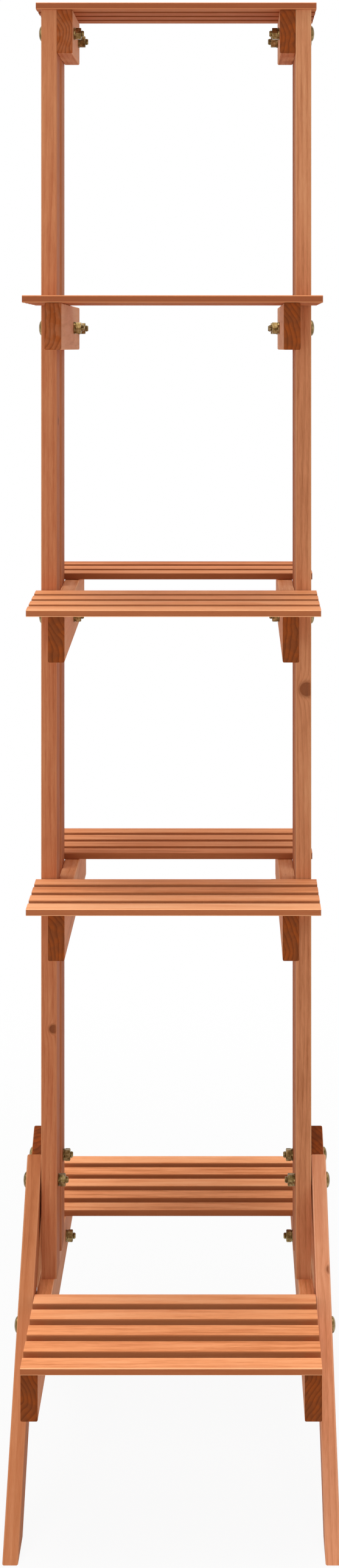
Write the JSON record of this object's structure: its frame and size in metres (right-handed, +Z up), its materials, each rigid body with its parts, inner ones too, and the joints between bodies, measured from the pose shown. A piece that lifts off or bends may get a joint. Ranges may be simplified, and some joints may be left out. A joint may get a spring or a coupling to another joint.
{
  "type": "plant stand",
  "caption": "Tall slim plant stand of slatted wood: posts bolted to crossbars that carry staggered shelves in front and behind, on splayed legs.",
  "frame": {"origin": "on the floor, under the centre of the four posts, which is the bottom centre of the bounding box", "axes": "+Z up the posts, +X along the slats to the right as seen from the front, +Y from the front to the rear; the front is the side with the upper shelf"},
  "size_m": [0.2794, 0.502, 1.304],
  "materials": {
    "slat_wood": "light reddish-brown stain, satin",
    "frame_wood": "reddish-brown stain, satin",
    "bolt_metal": "yellow plating, satin"
  },
  "bodies": {
    "root": {"bottom_front_slat_1": "slat_wood", "bottom_front_slat_2": "slat_wood", "bottom_front_slat_3": "slat_wood", "bottom_front_slat_4": "slat_wood", "bottom_front_slat_5": "slat_wood", "bottom_left_bar": "frame_wood", "bottom_rear_slat_1": "slat_wood", "bottom_rear_slat_2": "slat_wood", "bottom_rear_slat_3": "slat_wood", "bottom_rear_slat_4": "slat_wood", "bottom_rear_slat_5": "slat_wood", "bottom_right_bar": "frame_wood", "front_left_leg": "frame_wood", "front_left_post": "frame_wood", "front_leg_left_bolt": "bolt_metal", "front_leg_right_bolt": "bolt_metal", "front_right_leg": "frame_wood", "front_right_post": "frame_wood", "lower_front_slat_1": "slat_wood", "lower_front_slat_2": "slat_wood", "lower_front_slat_3": "slat_wood", "lower_front_slat_4": "slat_wood", "lower_left_bar": "frame_wood", "lower_rear_slat_1": "slat_wood", "lower_rear_slat_2": "slat_wood", "lower_rear_slat_3": "slat_wood", "lower_rear_slat_4": "slat_wood", "lower_right_bar": "frame_wood", "middle_front_slat_1": "slat_wood", "middle_front_slat_2": "slat_wood", "middle_front_slat_3": "slat_wood", "middle_front_slat_4": "slat_wood", "middle_left_bar": "frame_wood", "middle_rear_slat_1": "slat_wood", "middle_rear_slat_2": "slat_wood", "middle_rear_slat_3": "slat_wood", "middle_right_bar": "frame_wood", "rear_left_leg": "frame_wood", "rear_left_post": "frame_wood", "rear_leg_left_bolt": "bolt_metal", "rear_leg_right_bolt": "bolt_metal", "rear_right_leg": "frame_wood", "rear_right_post": "frame_wood", "top_front_left_bolt": "bolt_metal", "top_front_right_bolt": "bolt_metal", "top_left_bar": "frame_wood", "top_right_bar": "frame_wood", "top_slat_1": "slat_wood", "top_slat_2": "slat_wood", "top_slat_3": "slat_wood", "top_slat_4": "slat_wood", "upper_front_left_bolt": "bolt_metal", "upper_front_right_bolt": "bolt_metal", "upper_front_slat_1": "slat_wood", "upper_front_slat_2": "slat_wood", "upper_front_slat_3": "slat_wood", "upper_front_slat_4": "slat_wood", "upper_front_slat_5": "slat_wood", "upper_left_bar": "frame_wood", "upper_right_bar": "frame_wood"}
  },
  "joints": []
}
